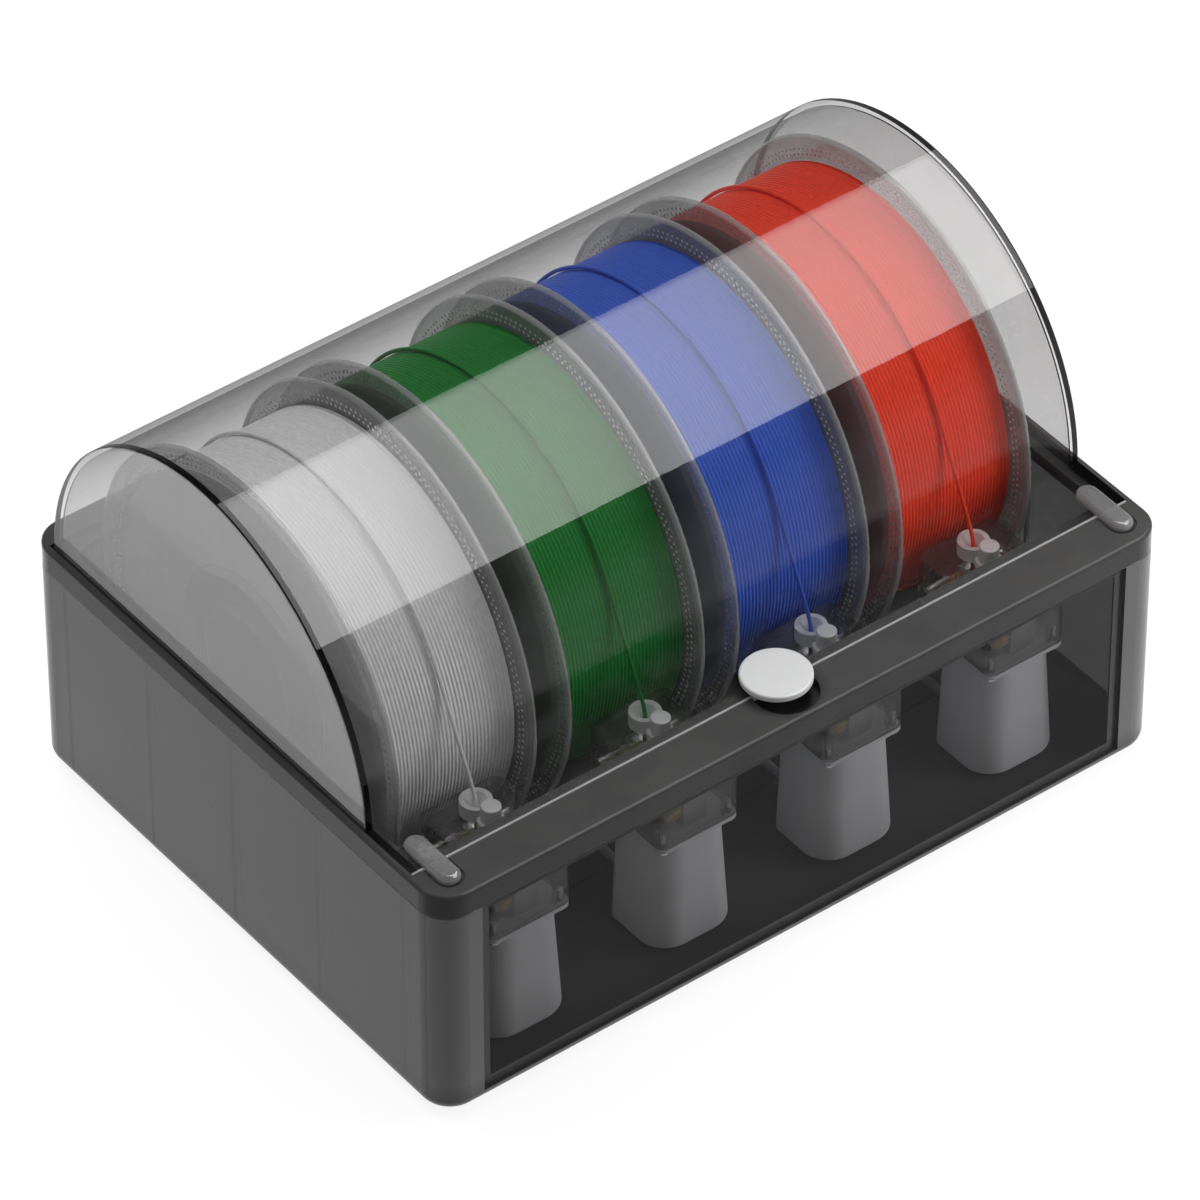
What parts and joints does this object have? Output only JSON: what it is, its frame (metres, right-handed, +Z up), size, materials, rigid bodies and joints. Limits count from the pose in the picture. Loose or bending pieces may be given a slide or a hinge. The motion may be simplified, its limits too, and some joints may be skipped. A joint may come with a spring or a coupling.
{
  "type": "filament dryer box",
  "caption": "Filament dry box with a clear hinged half-round lid, spools on rollers and a filament feeder in front of each spool.",
  "frame": {"origin": "bottom centre of the whole box, on the plane of the feet", "axes": "+X to the right seen from the front, +Y to the back, +Z up"},
  "size_m": [0.368, 0.283, 0.224],
  "materials": {
    "smoke_plastic": "translucent smoke grey",
    "smoke_rim": "dark translucent smoke grey",
    "dark_panel": "dark tinted gloss",
    "rubber": "matt rubber",
    "seal_rubber": "matt rubber",
    "steel": "turned steel",
    "motor_steel": "plated can",
    "dark_plastic": "moulded, fine grain",
    "clear_feeder": "tinted clear",
    "white_plastic": "satin white",
    "grey_plastic": "satin light grey",
    "tube_plastic": "milky tube",
    "outlet_plastic": "black moulded",
    "board": "solder mask green",
    "clear_lid": "clear smoke tint",
    "clear_clip": "clear grey",
    "clear_spool": "clear moulded",
    "roller_rubber": "grippy rubber on a steel shaft",
    "brass": "machined brass",
    "filament_white": "satin filament",
    "filament_green": "satin filament",
    "filament_blue": "satin filament",
    "filament_red": "satin filament"
  },
  "bodies": {
    "base": {"base_tub": "smoke_plastic", "front_panel": "dark_panel", "rubber_feet": "rubber", "rim_frame": "smoke_rim", "lid_seal": "seal_rubber", "hinge_pins": "steel", "roller_cradle": "dark_plastic", "feeder_bodies": "clear_feeder", "filament_inlets": "white_plastic", "motor_covers": "grey_plastic", "gear_motors": "motor_steel", "feeder_screws": "steel", "guide_tubes": "tube_plastic", "filament_hub": "dark_plastic", "outlet_coupler": "outlet_plastic", "control_board": "board", "rear_sockets": "outlet_plastic", "filament_strand_1": "filament_white", "filament_strand_2": "filament_green", "filament_strand_3": "filament_blue", "filament_strand_4": "filament_red"},
    "lid": {"lid_shell": "clear_lid", "lid_pull": "white_plastic", "corner_clips": "clear_clip"},
    "spool_body_1": {"spool_1": "clear_spool", "winding_core_1": "filament_white", "winding_turns_1": "filament_white"},
    "front_roller_1_body": {"front_roller_1": "roller_rubber"},
    "rear_roller_1_body": {"rear_roller_1": "roller_rubber"},
    "drive_gear_1_body": {"drive_gear_1": "brass"},
    "idler_1_body": {"idler_1": "steel"},
    "motor_gear_1_body": {"motor_gear_1": "brass"},
    "release_button_1_body": {"release_button_1": "white_plastic"},
    "spool_body_2": {"spool_2": "clear_spool", "winding_core_2": "filament_green", "winding_turns_2": "filament_green"},
    "front_roller_2_body": {"front_roller_2": "roller_rubber"},
    "rear_roller_2_body": {"rear_roller_2": "roller_rubber"},
    "drive_gear_2_body": {"drive_gear_2": "brass"},
    "idler_2_body": {"idler_2": "steel"},
    "motor_gear_2_body": {"motor_gear_2": "brass"},
    "release_button_2_body": {"release_button_2": "white_plastic"},
    "spool_body_3": {"spool_3": "clear_spool", "winding_core_3": "filament_blue", "winding_turns_3": "filament_blue"},
    "front_roller_3_body": {"front_roller_3": "roller_rubber"},
    "rear_roller_3_body": {"rear_roller_3": "roller_rubber"},
    "drive_gear_3_body": {"drive_gear_3": "brass"},
    "idler_3_body": {"idler_3": "steel"},
    "motor_gear_3_body": {"motor_gear_3": "brass"},
    "release_button_3_body": {"release_button_3": "white_plastic"},
    "spool_body_4": {"spool_4": "clear_spool", "winding_core_4": "filament_red", "winding_turns_4": "filament_red"},
    "front_roller_4_body": {"front_roller_4": "roller_rubber"},
    "rear_roller_4_body": {"rear_roller_4": "roller_rubber"},
    "drive_gear_4_body": {"drive_gear_4": "brass"},
    "idler_4_body": {"idler_4": "steel"},
    "motor_gear_4_body": {"motor_gear_4": "brass"},
    "release_button_4_body": {"release_button_4": "white_plastic"}
  },
  "joints": [
    {"name": "lid_hinge", "type": "hinge", "parent": "base", "child": "lid", "pos_m": [0, 0.1295, 0.122], "axis": [-1, 0, 0], "range_deg": [0, 95]},
    {"name": "spool_1_spin", "type": "hinge", "parent": "base", "child": "spool_body_1", "pos_m": [-0.12675, 0.0165, 0.116], "axis": [1, 0, 0], "continuous": true},
    {"name": "front_roller_1_spin", "type": "hinge", "parent": "base", "child": "front_roller_1_body", "pos_m": [-0.12675, -0.0544, 0.0315], "axis": [1, 0, 0], "continuous": true},
    {"name": "rear_roller_1_spin", "type": "hinge", "parent": "base", "child": "rear_roller_1_body", "pos_m": [-0.12675, 0.0874, 0.0315], "axis": [1, 0, 0], "continuous": true},
    {"name": "drive_gear_1_spin", "type": "hinge", "parent": "base", "child": "drive_gear_1_body", "pos_m": [-0.12675, -0.09677, 0.086], "axis": [1, 0, 0], "continuous": true},
    {"name": "idler_1_spin", "type": "hinge", "parent": "base", "child": "idler_1_body", "pos_m": [-0.12675, -0.08342, 0.086], "axis": [1, 0, 0], "continuous": true},
    {"name": "motor_gear_1_spin", "type": "hinge", "parent": "base", "child": "motor_gear_1_body", "pos_m": [-0.12675, -0.11131, 0.077], "axis": [1, 0, 0], "continuous": true},
    {"name": "release_button_1_press", "type": "slide", "parent": "base", "child": "release_button_1_body", "axis": [0, 0, -1], "range_m": [0, 0.003], "stiffness_N_per_m": 400},
    {"name": "spool_2_spin", "type": "hinge", "parent": "base", "child": "spool_body_2", "pos_m": [-0.04225, 0.0165, 0.116], "axis": [1, 0, 0], "continuous": true},
    {"name": "front_roller_2_spin", "type": "hinge", "parent": "base", "child": "front_roller_2_body", "pos_m": [-0.04225, -0.0544, 0.0315], "axis": [1, 0, 0], "continuous": true},
    {"name": "rear_roller_2_spin", "type": "hinge", "parent": "base", "child": "rear_roller_2_body", "pos_m": [-0.04225, 0.0874, 0.0315], "axis": [1, 0, 0], "continuous": true},
    {"name": "drive_gear_2_spin", "type": "hinge", "parent": "base", "child": "drive_gear_2_body", "pos_m": [-0.04225, -0.09677, 0.086], "axis": [1, 0, 0], "continuous": true},
    {"name": "idler_2_spin", "type": "hinge", "parent": "base", "child": "idler_2_body", "pos_m": [-0.04225, -0.08342, 0.086], "axis": [1, 0, 0], "continuous": true},
    {"name": "motor_gear_2_spin", "type": "hinge", "parent": "base", "child": "motor_gear_2_body", "pos_m": [-0.04225, -0.11131, 0.077], "axis": [1, 0, 0], "continuous": true},
    {"name": "release_button_2_press", "type": "slide", "parent": "base", "child": "release_button_2_body", "axis": [0, 0, -1], "range_m": [0, 0.003], "stiffness_N_per_m": 400},
    {"name": "spool_3_spin", "type": "hinge", "parent": "base", "child": "spool_body_3", "pos_m": [0.04225, 0.0165, 0.116], "axis": [1, 0, 0], "continuous": true},
    {"name": "front_roller_3_spin", "type": "hinge", "parent": "base", "child": "front_roller_3_body", "pos_m": [0.04225, -0.0544, 0.0315], "axis": [1, 0, 0], "continuous": true},
    {"name": "rear_roller_3_spin", "type": "hinge", "parent": "base", "child": "rear_roller_3_body", "pos_m": [0.04225, 0.0874, 0.0315], "axis": [1, 0, 0], "continuous": true},
    {"name": "drive_gear_3_spin", "type": "hinge", "parent": "base", "child": "drive_gear_3_body", "pos_m": [0.04225, -0.09677, 0.086], "axis": [1, 0, 0], "continuous": true},
    {"name": "idler_3_spin", "type": "hinge", "parent": "base", "child": "idler_3_body", "pos_m": [0.04225, -0.08342, 0.086], "axis": [1, 0, 0], "continuous": true},
    {"name": "motor_gear_3_spin", "type": "hinge", "parent": "base", "child": "motor_gear_3_body", "pos_m": [0.04225, -0.11131, 0.077], "axis": [1, 0, 0], "continuous": true},
    {"name": "release_button_3_press", "type": "slide", "parent": "base", "child": "release_button_3_body", "axis": [0, 0, -1], "range_m": [0, 0.003], "stiffness_N_per_m": 400},
    {"name": "spool_4_spin", "type": "hinge", "parent": "base", "child": "spool_body_4", "pos_m": [0.12675, 0.0165, 0.116], "axis": [1, 0, 0], "continuous": true},
    {"name": "front_roller_4_spin", "type": "hinge", "parent": "base", "child": "front_roller_4_body", "pos_m": [0.12675, -0.0544, 0.0315], "axis": [1, 0, 0], "continuous": true},
    {"name": "rear_roller_4_spin", "type": "hinge", "parent": "base", "child": "rear_roller_4_body", "pos_m": [0.12675, 0.0874, 0.0315], "axis": [1, 0, 0], "continuous": true},
    {"name": "drive_gear_4_spin", "type": "hinge", "parent": "base", "child": "drive_gear_4_body", "pos_m": [0.12675, -0.09677, 0.086], "axis": [1, 0, 0], "continuous": true},
    {"name": "idler_4_spin", "type": "hinge", "parent": "base", "child": "idler_4_body", "pos_m": [0.12675, -0.08342, 0.086], "axis": [1, 0, 0], "continuous": true},
    {"name": "motor_gear_4_spin", "type": "hinge", "parent": "base", "child": "motor_gear_4_body", "pos_m": [0.12675, -0.11131, 0.077], "axis": [1, 0, 0], "continuous": true},
    {"name": "release_button_4_press", "type": "slide", "parent": "base", "child": "release_button_4_body", "axis": [0, 0, -1], "range_m": [0, 0.003], "stiffness_N_per_m": 400}
  ],
  "couplings": [
    {"joint": "front_roller_1_spin", "follows": "spool_1_spin", "ratio": -10},
    {"joint": "rear_roller_1_spin", "follows": "spool_1_spin", "ratio": -10},
    {"joint": "drive_gear_1_spin", "follows": "spool_1_spin", "ratio": -12.743},
    {"joint": "idler_1_spin", "follows": "spool_1_spin", "ratio": 22.3},
    {"joint": "motor_gear_1_spin", "follows": "spool_1_spin", "ratio": 18.204},
    {"joint": "front_roller_2_spin", "follows": "spool_2_spin", "ratio": -10},
    {"joint": "rear_roller_2_spin", "follows": "spool_2_spin", "ratio": -10},
    {"joint": "drive_gear_2_spin", "follows": "spool_2_spin", "ratio": -12.743},
    {"joint": "idler_2_spin", "follows": "spool_2_spin", "ratio": 22.3},
    {"joint": "motor_gear_2_spin", "follows": "spool_2_spin", "ratio": 18.204},
    {"joint": "front_roller_3_spin", "follows": "spool_3_spin", "ratio": -10},
    {"joint": "rear_roller_3_spin", "follows": "spool_3_spin", "ratio": -10},
    {"joint": "drive_gear_3_spin", "follows": "spool_3_spin", "ratio": -12.743},
    {"joint": "idler_3_spin", "follows": "spool_3_spin", "ratio": 22.3},
    {"joint": "motor_gear_3_spin", "follows": "spool_3_spin", "ratio": 18.204},
    {"joint": "front_roller_4_spin", "follows": "spool_4_spin", "ratio": -10},
    {"joint": "rear_roller_4_spin", "follows": "spool_4_spin", "ratio": -10},
    {"joint": "drive_gear_4_spin", "follows": "spool_4_spin", "ratio": -12.743},
    {"joint": "idler_4_spin", "follows": "spool_4_spin", "ratio": 22.3},
    {"joint": "motor_gear_4_spin", "follows": "spool_4_spin", "ratio": 18.204}
  ]
}
